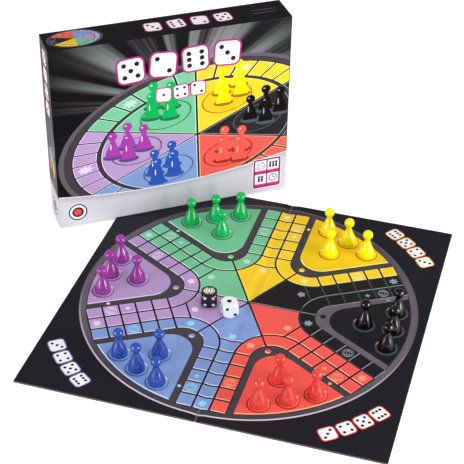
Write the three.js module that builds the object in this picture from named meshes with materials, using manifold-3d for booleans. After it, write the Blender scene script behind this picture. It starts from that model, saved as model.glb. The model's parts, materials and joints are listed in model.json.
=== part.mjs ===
// A six-player ludo set: a board that folds in two, its lidded card box, twenty-four pawns and two dice.
// Millimetres, +Z up. The origin is the middle of the left leaf's underside.
// X runs across the fold and Y along it.
import * as THREE from "three";
import { mergeVertices } from "three/addons/utils/BufferGeometryUtils.js";
import Module from "manifold-3d";

const wasm = await Module();
wasm.setup();

// Gap under a piece that stands on another
const seatGap = 0.3;

// Folding board: two greyboard leaves, a printed sheet on top, a black paper underneath
const boardWidth = 360;
const coreThickness = 1.6;
const faceThickness = 0.3;
const backThickness = 0.3;
const hingeGap = 3;
const creaseHalfWidth = 7; // the printed face starts to dip this far from the fold
const creaseDepth = 1;
const boardThickness = backThickness + coreThickness + faceThickness;
const foldX = (boardWidth + hingeGap) / 4; // the left leaf's middle is at X = 0

// Pawns: turned shape, hollow from below
const pawnHeight = 31.5;
const pawnSkirtRadius = 8.5;
const pawnFootRadius = 7.5;
const pawnFootHeight = 1.6; // the skirt is widest here
const pawnNeckRadius = 2.7;
const pawnNeckHeight = 20.4;
const pawnHeadRadius = 5.3;
const pawnCavityRadius = 6.2;
const pawnCavityHeight = 15;
const pawnSides = 14;
const pawnSkirtPower = 1.6; // how full the lower part of the skirt's curve is
const pawnSkirtSteps = 5;
const pawnHeadSteps = 5;

// Four standing places in each home, along its axis and across it, as shares of the board's side
const spotShares = [
  [0.333, 0],
  [0.415, 0],
  [0.411, 0.077],
  [0.411, -0.077],
];
const homes = ["black", "yellow", "green", "purple", "blue", "red"]; // one every 60 degrees from +X
const homeAngle = (2 * Math.PI) / homes.length;

// Dice: a cube cut by a ball, which rounds its corners
const dieWidth = 16;
const dieBallRadius = 11.2;
const dieBallSides = 20;
const dice = [
  { name: "die_black", colour: 0x141416, placeShares: [-0.105, -0.039], turn: 15.9 },
  { name: "die_white", colour: 0xf4f4f2, placeShares: [-0.038, -0.066], turn: 31 },
];

// Box, standing on its long side on the board's far left corner. Width, depth and height as it stands.
const boxWidth = 262;
const boxDepth = 40;
const boxHeight = 217;
const boxTurn = 35.4; // degrees from the board's X
const boxPlaceShares = [-0.642, 0.168]; // front left corner, from the board's middle
const lidThickness = 1.6;
const trayThickness = 1.5;
const trayClearance = 0.5; // between the tray's walls and the lid's
const insertThickness = 0.8;
const insertHeight = 20;
const troughWidth = 112;
const leafletWidth = 68;
const leafletHeight = 138;
const leafletThickness = 0.4;
const leafletGap = 0.4;

// Colours and finishes, from the photograph
const finishes = {
  greyboard: [0x8d857d, 0.9],
  printedFace: [0x2a2830, 0.35],
  blackPaper: [0x1e1d20, 0.7],
  lidPrint: [0x232127, 0.35],
  whiteCard: [0xe8e6e1, 0.7],
  leaflet: [0xf3f1ec, 0.6],
  black: [0x121214, 0.2],
  yellow: [0xffe600, 0.2],
  green: [0x00a651, 0.2],
  purple: [0xa52da0, 0.2],
  blue: [0x2846af, 0.2],
  red: [0xee3a30, 0.2],
};

function material([colour, roughness]) {
  return new THREE.MeshStandardMaterial({ color: colour, roughness, metalness: 0 });
}

function piece(name, geometry, finish) {
  const mesh = new THREE.Mesh(geometry, material(finish));
  mesh.name = name;
  return mesh;
}

// A block from one corner, so that places are read off as lowest corners
function block(width, depth, height) {
  return new THREE.BoxGeometry(width, depth, height).translate(width / 2, depth / 2, height / 2);
}

function toSolid(geometry) {
  const bare = geometry.clone();
  bare.deleteAttribute("normal");
  bare.deleteAttribute("uv");
  const merged = mergeVertices(bare);
  const mesh = new wasm.Mesh({
    numProp: 3,
    vertProperties: merged.attributes.position.array,
    triVerts: new Uint32Array(merged.index.array),
  });
  return new wasm.Manifold(mesh);
}

function toGeometry(solid) {
  const mesh = solid.getMesh();
  const geometry = new THREE.BufferGeometry();
  geometry.setAttribute("position", new THREE.BufferAttribute(mesh.vertProperties, 3));
  geometry.setIndex(new THREE.BufferAttribute(mesh.triVerts, 1));
  geometry.computeVertexNormals();
  return geometry;
}

// A shape drawn in X and Z, made long in Y from zero
function extrudeAlongY(points, length) {
  const shape = new THREE.Shape(points.map(([x, z]) => new THREE.Vector2(x, z)));
  const geometry = new THREE.ExtrudeGeometry(shape, { depth: length, bevelEnabled: false });
  return geometry.rotateX(Math.PI / 2).translate(0, length, 0);
}

// Board
// One layer of a leaf: side is -1 for the left leaf and 1 for the right. Near the fold its faces can dip.
function leafLayer(side, low, high, lowDip, highDip) {
  const inner = hingeGap / 2;
  const outer = boardWidth / 2;
  const outline = [
    [side * outer, low],
    [side * creaseHalfWidth, low],
    [side * inner, low - lowDip],
    [side * inner, high - highDip],
    [side * creaseHalfWidth, high],
    [side * outer, high],
  ];
  return extrudeAlongY(outline, boardWidth).translate(foldX, -boardWidth / 2, 0);
}

function makeLeaf(name, side) {
  const coreTop = backThickness + coreThickness;
  const back = leafLayer(side, 0, backThickness, 0, 0);
  const core = leafLayer(side, backThickness, coreTop, 0, creaseDepth);
  const face = leafLayer(side, coreTop, boardThickness, creaseDepth, creaseDepth);
  return [
    piece(`${name}_back_sheet`, back, finishes.blackPaper),
    piece(`${name}_board_core`, core, finishes.greyboard),
    piece(`${name}_face_sheet`, face, finishes.printedFace),
  ];
}

// The printed sheet bridges the gap at the bottom of the crease. It is fixed to the left leaf.
function makeCreaseStrip() {
  const width = hingeGap - seatGap;
  const geometry = block(width, boardWidth, faceThickness);
  const strip = piece("fold_crease_strip", geometry, finishes.printedFace);
  strip.position.set(foldX - hingeGap / 2, -boardWidth / 2, boardThickness - creaseDepth - faceThickness);
  return strip;
}

// Pawns
function pawnProfile() {
  const headHeight = pawnHeight - pawnHeadRadius;
  const neckTop = headHeight - Math.sqrt(pawnHeadRadius ** 2 - pawnNeckRadius ** 2);
  const points = [
    [0, pawnCavityHeight],
    [pawnNeckRadius, pawnCavityHeight - pawnNeckRadius],
    [pawnCavityRadius, 0],
    [pawnFootRadius, 0],
  ];
  for (let i = 0; i <= pawnSkirtSteps; i++) {
    const t = i / pawnSkirtSteps;
    const fullShare = 1 - t ** pawnSkirtPower; // round above the foot
    const waveShare = (1 + Math.cos(Math.PI * t)) / 2; // and hollow below the neck
    const swell = ((pawnSkirtRadius - pawnNeckRadius) * (fullShare + waveShare)) / 2;
    points.push([pawnNeckRadius + swell, pawnFootHeight + t * (pawnNeckHeight - pawnFootHeight)]);
  }
  const start = Math.atan2(neckTop - headHeight, pawnNeckRadius);
  for (let i = 0; i < pawnHeadSteps; i++) {
    const a = start + (i / pawnHeadSteps) * (Math.PI / 2 - start);
    points.push([pawnHeadRadius * Math.cos(a), headHeight + pawnHeadRadius * Math.sin(a)]);
  }
  points.push([0, pawnHeight]);
  return points.map(([r, z]) => new THREE.Vector2(r, z));
}

function makePawns(home, index) {
  const along = new THREE.Vector2(Math.cos(index * homeAngle), Math.sin(index * homeAngle));
  return spotShares.map(([radial, sideways], i) => {
    const geometry = new THREE.LatheGeometry(pawnProfile(), pawnSides).rotateX(Math.PI / 2);
    const pawn = piece(`pawn_${home}_${i + 1}`, geometry, finishes[home]);
    const x = (radial * along.x - sideways * along.y) * boardWidth;
    const y = (radial * along.y + sideways * along.x) * boardWidth;
    pawn.position.set(foldX + x, y, boardThickness + seatGap);
    return pawn;
  });
}

// Dice
function makeDie({ name, colour, placeShares, turn }) {
  const cube = toSolid(new THREE.BoxGeometry(dieWidth, dieWidth, dieWidth));
  const ball = toSolid(new THREE.SphereGeometry(dieBallRadius, dieBallSides, dieBallSides / 2));
  const die = piece(name, toGeometry(cube.intersect(ball)), [colour, 0.2]);
  const [x, y] = placeShares.map((share) => share * boardWidth);
  die.position.set(foldX + x, y, boardThickness + seatGap + dieWidth / 2);
  die.rotation.z = THREE.MathUtils.degToRad(turn);
  return die;
}

// Box, in its own frame: X along its front, Y from its front to its back, Z up
function makeLid() {
  const outer = toSolid(block(boxWidth, boxDepth, boxHeight));
  const room = block(boxWidth - 2 * lidThickness, boxDepth, boxHeight - 2 * lidThickness);
  const inner = toSolid(room.translate(lidThickness, lidThickness, lidThickness));
  return piece("box_lid", toGeometry(outer.subtract(inner)), finishes.lidPrint);
}

// The tray's outer walls run inside the lid's, and its floor is the back of the standing box
const tray = {
  width: boxWidth - 2 * (lidThickness + trayClearance),
  depth: boxDepth - lidThickness - trayClearance,
  height: boxHeight - 2 * lidThickness - trayClearance - seatGap,
  corner: [lidThickness + trayClearance, lidThickness + trayClearance, lidThickness + seatGap],
};

function makeTray() {
  const outer = toSolid(block(tray.width, tray.depth, tray.height));
  const room = block(tray.width - 2 * trayThickness, tray.depth, tray.height - 2 * trayThickness);
  const inner = toSolid(room.translate(trayThickness, -trayThickness, trayThickness));
  const mesh = piece("box_base_tray", toGeometry(outer.subtract(inner)), finishes.whiteCard);
  mesh.position.set(...tray.corner);
  return mesh;
}

// A sheet bent square at each point of its path, drawn in X and Y and made long in Z
function foldedSheet(path, thickness, length) {
  const sides = [1, -1].map((side) =>
    path.map(([x, y], i) => {
      const [x0, y0] = path[Math.max(i - 1, 0)];
      const [x1, y1] = path[Math.min(i + 1, path.length - 1)];
      const before = new THREE.Vector2(x - x0, y - y0).normalize();
      const after = new THREE.Vector2(x1 - x, y1 - y).normalize();
      const across = new THREE.Vector2(-before.y - after.y, before.x + after.x);
      return new THREE.Vector2(x, y).addScaledVector(across, (side * thickness) / 2);
    }),
  );
  const outline = [...sides[0], ...sides[1].reverse()];
  return new THREE.ExtrudeGeometry(new THREE.Shape(outline), { depth: length, bevelEnabled: false });
}

// A card bridge on the tray's floor, with a trough for the pawns and dice between its two tables
function makeInsert() {
  const half = insertThickness / 2;
  const left = tray.corner[0] + trayThickness + seatGap + half;
  const right = boxWidth - left;
  const floorY = boxDepth - trayThickness - seatGap - half;
  const tableY = floorY - insertHeight;
  const troughLeft = (boxWidth - troughWidth) / 2;
  const troughRight = boxWidth - troughLeft;
  const path = [
    [left, floorY],
    [left, tableY],
    [troughLeft, tableY],
    [troughLeft, floorY],
    [troughRight, floorY],
    [troughRight, tableY],
    [right, tableY],
    [right, floorY],
  ];
  const length = tray.height - 2 * (trayThickness + seatGap);
  const insert = piece("card_insert", foldedSheet(path, insertThickness, length), finishes.whiteCard);
  insert.position.z = tray.corner[2] + trayThickness + seatGap;
  return insert;
}

// The rules, folded once, standing on the tray's lower wall in front of the insert's left table
function makeLeaflet() {
  const pitch = leafletThickness + leafletGap;
  const tableY = boxDepth - trayThickness - seatGap - insertThickness - insertHeight;
  const y = tableY - seatGap - leafletThickness / 2;
  const left = tray.corner[0] + trayThickness + seatGap + leafletThickness / 2;
  const path = [
    [left + leafletWidth, y],
    [left, y],
    [left, y - pitch],
    [left + leafletWidth, y - pitch],
  ];
  const geometry = foldedSheet(path, leafletThickness, leafletHeight);
  const leaflet = piece("rules_leaflet", geometry, finishes.leaflet);
  leaflet.position.z = tray.corner[2] + trayThickness + seatGap;
  return leaflet;
}

function makeBox() {
  const box = new THREE.Group();
  const [x, y] = boxPlaceShares.map((share) => share * boardWidth);
  box.add(makeLid(), makeTray(), makeInsert(), makeLeaflet());
  box.position.set(foldX + x, y, boardThickness + seatGap);
  box.rotation.z = THREE.MathUtils.degToRad(boxTurn);
  return box;
}

const ludoSet = new THREE.Group();
ludoSet.add(...makeLeaf("left", -1), ...makeLeaf("right", 1), makeCreaseStrip());
ludoSet.add(...homes.flatMap(makePawns), ...dice.map(makeDie), makeBox());

export default ludoSet;
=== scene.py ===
# A boxed six-player ludo set: the open board, its pawns and dice, and the lidded card box behind them.
import json
import math

import bmesh
import bpy
from mathutils import Matrix, Vector
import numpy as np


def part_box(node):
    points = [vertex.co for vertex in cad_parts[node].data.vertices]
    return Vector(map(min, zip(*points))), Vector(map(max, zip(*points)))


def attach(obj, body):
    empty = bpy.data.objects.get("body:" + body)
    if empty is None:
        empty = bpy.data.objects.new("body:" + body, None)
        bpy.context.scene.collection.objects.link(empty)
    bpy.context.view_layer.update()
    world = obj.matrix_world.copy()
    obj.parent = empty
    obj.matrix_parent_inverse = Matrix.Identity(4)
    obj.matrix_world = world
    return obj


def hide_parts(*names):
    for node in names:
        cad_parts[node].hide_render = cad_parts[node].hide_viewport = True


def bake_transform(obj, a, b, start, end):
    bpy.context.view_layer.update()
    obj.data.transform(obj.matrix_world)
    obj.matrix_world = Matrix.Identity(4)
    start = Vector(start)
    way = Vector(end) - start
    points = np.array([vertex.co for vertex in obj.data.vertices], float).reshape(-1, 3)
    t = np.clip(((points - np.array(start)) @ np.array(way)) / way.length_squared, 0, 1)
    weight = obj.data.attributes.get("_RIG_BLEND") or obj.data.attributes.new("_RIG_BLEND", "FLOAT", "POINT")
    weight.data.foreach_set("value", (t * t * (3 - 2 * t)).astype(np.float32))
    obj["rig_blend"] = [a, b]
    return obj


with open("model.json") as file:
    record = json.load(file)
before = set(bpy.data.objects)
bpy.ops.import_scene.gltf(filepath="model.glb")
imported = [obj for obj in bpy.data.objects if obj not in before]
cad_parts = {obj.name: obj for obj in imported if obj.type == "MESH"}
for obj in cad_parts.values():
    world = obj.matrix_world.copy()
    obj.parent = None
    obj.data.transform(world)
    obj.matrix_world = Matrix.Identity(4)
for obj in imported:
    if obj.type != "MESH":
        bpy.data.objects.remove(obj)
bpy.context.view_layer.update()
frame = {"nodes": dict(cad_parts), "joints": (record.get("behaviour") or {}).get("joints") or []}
mm = 0.001
quarter = math.pi / 2
fullTurn = 4 * quarter
print("frame loaded:", len(frame["nodes"]), "nodes")


# Materials
# Sizes are those of the real surface; a size too fine for the render is drawn coarser.
looks = {
    # litho print under a matt film: even colour, soft sheen, faint paper fibre
    "film print": {"cloudSize": 30 * mm, "cloudShare": 0.03, "grainSize": 0.6 * mm,
                   "grainDepth": 0.012 * mm, "roughness": 0.45, "specular": 0.2},
    # the lid's film is glossier
    "gloss film": {"cloudSize": 45 * mm, "cloudShare": 0.02, "grainSize": 0.8 * mm,
                   "grainDepth": 0.008 * mm, "roughness": 0.32, "specular": 0.14},
    # uncoated cover paper with a pressed linen grain, drawn at 0.8 mm
    "cover paper": {"cloudSize": 12 * mm, "cloudShare": 0.12, "grainSize": 0.8 * mm,
                    "grainDepth": 0.06 * mm, "roughness": 0.75, "specular": 0.2},
    # grey pulp board, cut with a knife: fibrous, with thin plies
    "pulp board": {"cloudSize": 3 * mm, "cloudShare": 0.16, "grainSize": 0.5 * mm,
                   "grainDepth": 0.12 * mm, "roughness": 0.9, "specular": 0.2, "plies": 6},
    # white-lined carton board, smooth and matt
    "carton": {"cloudSize": 60 * mm, "cloudShare": 0.012, "grainSize": 0.5 * mm,
               "grainDepth": 0.02 * mm, "roughness": 0.68, "specular": 0.3},
    # injection-moulded polystyrene, polished tool: clear gloss, long faint ripples
    "polystyrene": {"cloudSize": 14 * mm, "cloudShare": 0.03, "grainSize": 5 * mm,
                    "grainDepth": 0.012 * mm, "roughness": 0.12, "specular": 0.5, "ior": 1.59},
    # pips filled with paint: matt beside the plastic
    "pip paint": {"cloudSize": 4 * mm, "cloudShare": 0.03, "grainSize": 0.4 * mm,
                  "grainDepth": 0.01 * mm, "roughness": 0.45, "specular": 0.4},
}
noiseSpread = {"From Min": 0.3, "From Max": 0.7}
noiseDetail = {"cloud": 4, "grain": 2, "ray": 3}
glossShare = 0.08  # how much the grain varies the roughness


def toLinear(hexCode):
    channels = [int(hexCode[i:i + 2], 16) / 255 for i in (1, 3, 5)]
    linear = [c / 12.92 if c <= 0.04045 else ((c + 0.055) / 1.055) ** 2.4 for c in channels]
    return (*linear, 1)


def setAll(thing, **settings):
    for name, value in settings.items():
        setattr(thing, name, value)
    return thing


# A socket is linked and a value is set
def setInputs(mat, node, inputs):
    for name, value in inputs.items():
        if isinstance(value, bpy.types.NodeSocket):
            mat.node_tree.links.new(value, node.inputs[name])
        else:
            node.inputs[name].default_value = value


def addNode(mat, kind, inputs, **settings):
    node = setAll(mat.node_tree.nodes.new("ShaderNode" + kind), **settings)
    setInputs(mat, node, inputs)
    return node


def setSurface(mat, inputs):
    setInputs(mat, mat.node_tree.nodes["Principled BSDF"], inputs)


def newMaterial(name):
    mat = bpy.data.materials.new(name)
    mat.use_nodes = True
    return mat


# colour is a value or a socket
def finishSurface(mat, colour, look):
    place = addNode(mat, "TexCoord", {}).outputs["Object"]
    plies = (1, 1, look.get("plies", 1))
    place = addNode(mat, "Mapping", {"Vector": place, "Scale": plies}).outputs["Vector"]
    cloud = addNode(mat, "TexNoise", {"Vector": place, "Scale": 1 / look["cloudSize"],
                                     "Detail": noiseDetail["cloud"]})
    share = look["cloudShare"]
    shade = addNode(mat, "MapRange", {"Value": cloud.outputs["Fac"], **noiseSpread, "To Min": 1 - share,
                                      "To Max": 1 + share})
    tone = addNode(mat, "Mix", {0: 1, 6: colour, 7: shade.outputs["Result"]}, data_type="RGBA",
                   blend_type="MULTIPLY")
    grain = addNode(mat, "TexNoise", {"Vector": place, "Scale": 1 / look["grainSize"],
                                     "Detail": noiseDetail["grain"]})
    bump = addNode(mat, "Bump", {"Height": grain.outputs["Fac"], "Distance": look["grainDepth"]})
    gloss = addNode(mat, "MapRange", {"Value": grain.outputs["Fac"], **noiseSpread,
                                      "To Min": look["roughness"] * (1 - glossShare),
                                      "To Max": look["roughness"] * (1 + glossShare)})
    setSurface(mat, {"Base Color": tone.outputs[2], "Normal": bump.outputs["Normal"],
                     "Roughness": gloss.outputs["Result"], "Specular IOR Level": look["specular"],
                     "IOR": look.get("ior", 1.5)})
    return mat


def plainFinish(name, hexCode, look):
    return finishSurface(newMaterial(name), toLinear(hexCode), looks[look])


# The six colours: fields are the track, homes the corner fields, tints the light outlines and signs
homes = {
    "black": {
        "field": "#1b1a1f", "home": "#1f1e24", "tint": "#aaa7b2", "shade": "#4c5259", "spot": "#4c5259",
        "sign": "#8d99a6", "band": "#6a606a", "gleam": "#232227"},
    "yellow": {
        "field": "#f6cd2c", "home": "#edc518", "tint": "#fdf08a", "shade": "#ac6a12", "spot": "#fbe45c",
        "sign": "#f3e8a0", "gleam": "#f9da58"},
    "green": {
        "field": "#74c297", "home": "#6ec094", "tint": "#c8eed4", "shade": "#1f6e46", "spot": "#9ad8b6",
        "sign": "#b8dad2", "gleam": "#86cca6"},
    "purple": {
        "field": "#b596c8", "home": "#b296c6", "tint": "#ead8f2", "shade": "#584083", "spot": "#cdb5da",
        "sign": "#e4d4ee", "gleam": "#bfa4d0"},
    "blue": {
        "field": "#819ad0", "home": "#829ed4", "tint": "#dbe4f8", "shade": "#38549f", "spot": "#a0b5e4",
        "sign": "#96d4f4", "gleam": "#8fa5d8"},
    "red": {
        "field": "#f05b54", "home": "#f1584f", "tint": "#ffc68c", "shade": "#9c2a24", "spot": "#f4786c",
        "sign": "#fba07c", "gleam": "#f26b62"},
}
# The plastic of each colour: how far light runs under its surface, and how clear it is
pawnColours = {
    "black": {"colour": "#060608", "glow": 0, "clear": 0},
    "yellow": {"colour": "#fff000", "glow": 0.25, "clear": 0},
    "green": {"colour": "#00b156", "glow": 0.1, "clear": 0},
    "purple": {"colour": "#a33ca5", "glow": 0.3, "clear": 0.25},
    "blue": {"colour": "#2951b0", "glow": 0.12, "clear": 0.1},
    "red": {"colour": "#ff5a50", "glow": 0.4, "clear": 0.5},
}
bandColour = "#443f45"  # round every home but the black one
inks = {}
for name, colours in homes.items():
    for part, hexCode in {"band": bandColour, **colours}.items():
        inks[f"{name} {part}"] = plainFinish(f"{name}_{part}_ink", hexCode, "film print")
    inks[f"{name} figure"] = plainFinish(f"{name}_figure_ink", pawnColours[name]["colour"], "gloss film")
otherInks = {
    # the pale grey crease ink is a painted highlight
    "black dim": "#4d4c4b", "worn": "#777078", "margin": "#1c1b22", "charcoal": "#3c373d", "line": "#16101b",
    "white": "#f4f2f5", "magenta": "#b5237f", "amber": "#e9a02c", "mint": "#5fc08c", "lilac": "#8f88c9",
    "coral": "#e2453f", "pip": "#1a181c", "plum": "#6b1d64", "pink": "#e5187c", "dark plum": "#3a2350"}
for name, hexCode in otherInks.items():
    inks[name] = plainFinish(f"{name.replace(' ', '_')}_ink", hexCode, "film print")


# An ink that runs from one colour to another between two places on the way from the far edge to the near one,
# or both ways out from the middle
def fadedInk(name, farHex, nearHex, farAt, nearAt, bothWays=False):
    mat = newMaterial(name)
    place = addNode(mat, "TexCoord", {}).outputs["Object"]
    y = addNode(mat, "SeparateXYZ", {"Vector": place}).outputs["Y"]
    if bothWays:
        y = addNode(mat, "Math", {0: y}, operation="ABSOLUTE").outputs[0]
    fade = addNode(mat, "MapRange", {"Value": y, "From Min": nearAt, "From Max": farAt},
                   interpolation_type="SMOOTHSTEP").outputs["Result"]
    colour = addNode(mat, "Mix", {0: fade, 6: toLinear(nearHex), 7: toLinear(farHex)},
                     data_type="RGBA")
    return finishSurface(mat, colour.outputs[2], looks["film print"])


# Printing: flat shapes, drawn in their own small meshes and stamped on a sheet in thin layers
inkStep = 0.04 * mm
fineStep = 0.015 * mm
arcStep = math.radians(5)
rimLean = 0.25
roundSides = {"usual": 32, "pip": 20, "small": 16, "spot": 48, "wheel": 96, "ring": 144}


def startPrint(step, paper=0):
    return {"mesh": bmesh.new(), "inks": [], "turn": Matrix.Identity(4), "step": step, "paper": paper}


# Material 0 of the shape gets the first ink named, and so on. Each layer reaches down into the sheet.
def stamp(sheet, shape, level, *names):
    for name in names:
        if name not in sheet["inks"]:
            sheet["inks"].append(name)
    bmesh.ops.translate(shape, verts=shape.verts[:], vec=(0, 0, level * sheet["step"]))
    bmesh.ops.transform(shape, matrix=sheet["turn"], verts=shape.verts[:])
    shape.normal_update()
    depth = shape.faces.layers.float.new("depth")
    for face in shape.faces:
        face.material_index = sheet["inks"].index(names[face.material_index])
        face[depth] = (level + 0.5) * sheet["step"] if level else sheet["paper"]
        if face.normal.z < 0:
            face.normal_flip()
    scratch = bpy.data.meshes.new("stamp")
    shape.to_mesh(scratch)
    sheet["mesh"].from_mesh(scratch)
    bpy.data.meshes.remove(scratch)
    shape.free()


def polar(radius, angle, centre=(0, 0)):
    return (centre[0] + radius * math.cos(angle), centre[1] + radius * math.sin(angle))


def scaled(shares, size):
    return {name: share * size for name, share in shares.items()}


# A place on a sheet, and a turn there
def placed(centre, turn=0):
    return Matrix.Translation((*centre, 0)) @ Matrix.Rotation(turn, 4, "Z")


def discShape(centre, radius, sides=roundSides["usual"]):
    shape = bmesh.new()
    bmesh.ops.create_circle(shape, cap_ends=True, segments=sides, radius=radius, matrix=placed(centre))
    return shape


def bandShape(centre, inner, outer, first=0, last=fullTurn):
    shape = bmesh.new()
    ends = [shape.verts.new((*polar(r, first, centre), 0)) for r in (inner, outer)]
    side = shape.edges.new(ends)
    steps = max(3, round(abs(last - first) / arcStep))
    bmesh.ops.spin(shape, geom=[*ends, side], cent=(*centre, 0), axis=(0, 0, 1), angle=last - first,
                   steps=steps, use_merge=abs(last - first) == fullTurn)
    return shape


# A stretch is a point, or an arc as centre, radius, first and last angle
def outlineShape(*stretches):
    shape = bmesh.new()
    loose = []
    for stretch in stretches:
        if len(stretch) == 2:
            first = last = shape.verts.new((*stretch, 0))
        else:
            centre, radius, start, end = stretch
            first = shape.verts.new((*polar(radius, start, centre), 0))
            steps = max(2, round(abs(end - start) / arcStep))
            made = bmesh.ops.spin(shape, geom=[first], cent=(*centre, 0), axis=(0, 0, 1), angle=end - start,
                                  steps=steps)
            last = made["geom_last"][0]
        loose.append((first, last))
    for (_, last), (first, _) in zip(loose, loose[1:] + loose[:1]):
        shape.edges.new((last, first))
    bmesh.ops.contextual_create(shape, geom=shape.edges[:])
    return shape


def starShape(centre, radius, points, waistShare, turn=0):
    shape = bmesh.new()
    made = bmesh.ops.create_circle(shape, cap_ends=True, segments=2 * points, radius=radius,
                                   matrix=placed(centre, turn))
    bmesh.ops.scale(shape, verts=made["verts"][1::2], vec=(waistShare, waistShare, 1),
                    space=Matrix.Translation((-centre[0], -centre[1], 0)))
    return shape


def tileShape(centre, width, height, corner, turn=0):
    shape = bmesh.new()
    x, y = width / 2, height / 2
    shape.faces.new([shape.verts.new((*at, 0)) for at in ((-x, -y), (x, -y), (x, y), (-x, y))])
    if corner:
        bmesh.ops.bevel(shape, geom=shape.verts[:], affect="VERTICES", offset=corner, segments=5,
                        profile=0.5, material=-1)
    bmesh.ops.transform(shape, matrix=placed(centre, turn), verts=shape.verts[:])
    return shape


def barShape(start, end, width):
    along = Vector(end) - Vector(start)
    middle = (Vector(end) + Vector(start)) / 2
    return tileShape(middle, along.length, width, 0, math.atan2(along.y, along.x))


# Strips inside the outline, as materials 0, 1 ..., with the middle last
def addRims(shape, *widths):
    for face in shape.faces:
        face.material_index = len(widths)
    for i, width in enumerate(widths):
        middle = [face for face in shape.faces if face.material_index == len(widths)]
        strip = bmesh.ops.inset_region(shape, faces=middle, thickness=width, use_boundary=True,
                                       use_even_offset=True)
        for face in strip["faces"]:
            face.material_index = i
    return shape


# A dark outline, then a rim that is lit where it faces the light, as if the field were raised
def addLitRims(sheet, shape, rims, level, *names):
    rim = rims["rim"] * boardWidth
    addRims(shape, rims["line"] * boardWidth, rim)
    for face in shape.faces:
        face.material_index += face.material_index == 2
    lightWay = sheet["turn"].inverted() @ Vector(rims["way"])
    for face in [face for face in shape.faces if face.material_index == 1]:
        for edge in face.edges:
            if any(other.material_index == 3 for other in edge.link_faces):
                outward = face.calc_center_median() - edge.verts[0].co
                along = (edge.verts[1].co - edge.verts[0].co).normalized()
                outward = (outward - along * outward.dot(along)).normalized()
                if outward.dot(lightWay) < rims["least"]:
                    face.material_index = 2
    middle = {vert for face in shape.faces if face.material_index == 3 for vert in face.verts}
    bmesh.ops.translate(shape, verts=list(middle), vec=lightWay * -rim * rimLean)
    stamp(sheet, shape, level, *names)


def squeezed(shape, centre, x, y):
    about = Matrix.Translation((-centre[0], -centre[1], 0))
    bmesh.ops.scale(shape, verts=shape.verts[:], vec=(x, y, 1), space=about)
    return shape


# A globe's inner lines: meridians as shares of its width, parallels of its height
globeShares = {"meridians": (0.7, 0.28), "parallels": (-0.4, 0.4), "apart": 0.1}


# A globe in lines, each a little above the last where they cross. Its poles stay at the top, whichever way
# the sheet is turned.
def printGlobe(sheet, centre, radius, line, level, ink):
    lines = [bandShape(centre, radius - line, radius)]
    for share in globeShares["meridians"]:
        lines.append(squeezed(bandShape(centre, radius - line / share, radius), centre, share, 1))
    for share in globeShares["parallels"]:
        reach = radius * math.sqrt(1 - share ** 2)
        y = centre[1] + share * radius
        lines.append(barShape((centre[0] - reach, y), (centre[0] + reach, y), line))
    about = placed(centre)
    upright = about @ sheet["turn"].inverted() @ about.inverted()
    for i, shape in enumerate(lines):
        bmesh.ops.transform(shape, matrix=upright, verts=shape.verts[:])
        stamp(sheet, shape, level + globeShares["apart"] * i, ink)


pipPlaces = {
    1: [(0, 0)],
    2: [(-1, 1), (1, -1)],
    3: [(-1, 1), (0, 0), (1, -1)],
    4: [(-1, 1), (1, 1), (-1, -1), (1, -1)],
    5: [(-1, 1), (1, 1), (0, 0), (-1, -1), (1, -1)],
    6: [(-1, 1), (-1, 0), (-1, -1), (1, 1), (1, 0), (1, -1)],
}


# Shares of the face's width
dieFaceShares = {"edge": 0.07, "edgeCorner": 0.27, "corner": 0.22, "spread": 0.26, "pip": 0.1}


def printDieFace(sheet, centre, width, turn, count, level, edgeInk, faceInk="white", pipInk="pip"):
    face = scaled(dieFaceShares, width)
    outer = width + 2 * face["edge"]
    stamp(sheet, tileShape(centre, outer, outer, face["edgeCorner"], turn), level, edgeInk)
    stamp(sheet, tileShape(centre, width, width, face["corner"], turn), level + 1, faceInk)
    for x, y in pipPlaces[count]:
        place = Vector((x, y)) * face["spread"]
        place.rotate(Matrix.Rotation(turn, 2))
        pip = discShape(Vector(centre) + place, face["pip"], roundSides["pip"])
        stamp(sheet, pip, level + 2, pipInk)


# Gives each layer its own depth, downwards
def thicken(bm):
    depth = bm.faces.layers.float["depth"]
    layers = {}
    for face in bm.faces:
        layers.setdefault(face[depth], []).append(face)
    for thickness, faces in layers.items():
        bmesh.ops.solidify(bm, geom=faces, thickness=thickness)


def cutAlong(bm, at, out, **choices):
    bmesh.ops.bisect_plane(bm, geom=bm.verts[:] + bm.edges[:] + bm.faces[:], dist=1e-7, plane_co=(*at, 0),
                           plane_no=(*out, 0), **choices)


def addToScene(name, data):
    obj = bpy.data.objects.new(name, data)
    bpy.context.scene.collection.objects.link(obj)
    return obj


def makeObject(name, bm, mats, place=None):
    mesh = bpy.data.meshes.new(name)
    bm.to_mesh(mesh)
    bm.free()
    if place:
        mesh.transform(place)
    for mat in mats:
        mesh.materials.append(mat)
    return addToScene(name, mesh)


def smoothBelow(mesh, degrees):
    mesh.shade_smooth()
    mesh.set_sharp_from_angle(angle=math.radians(degrees))


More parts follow.
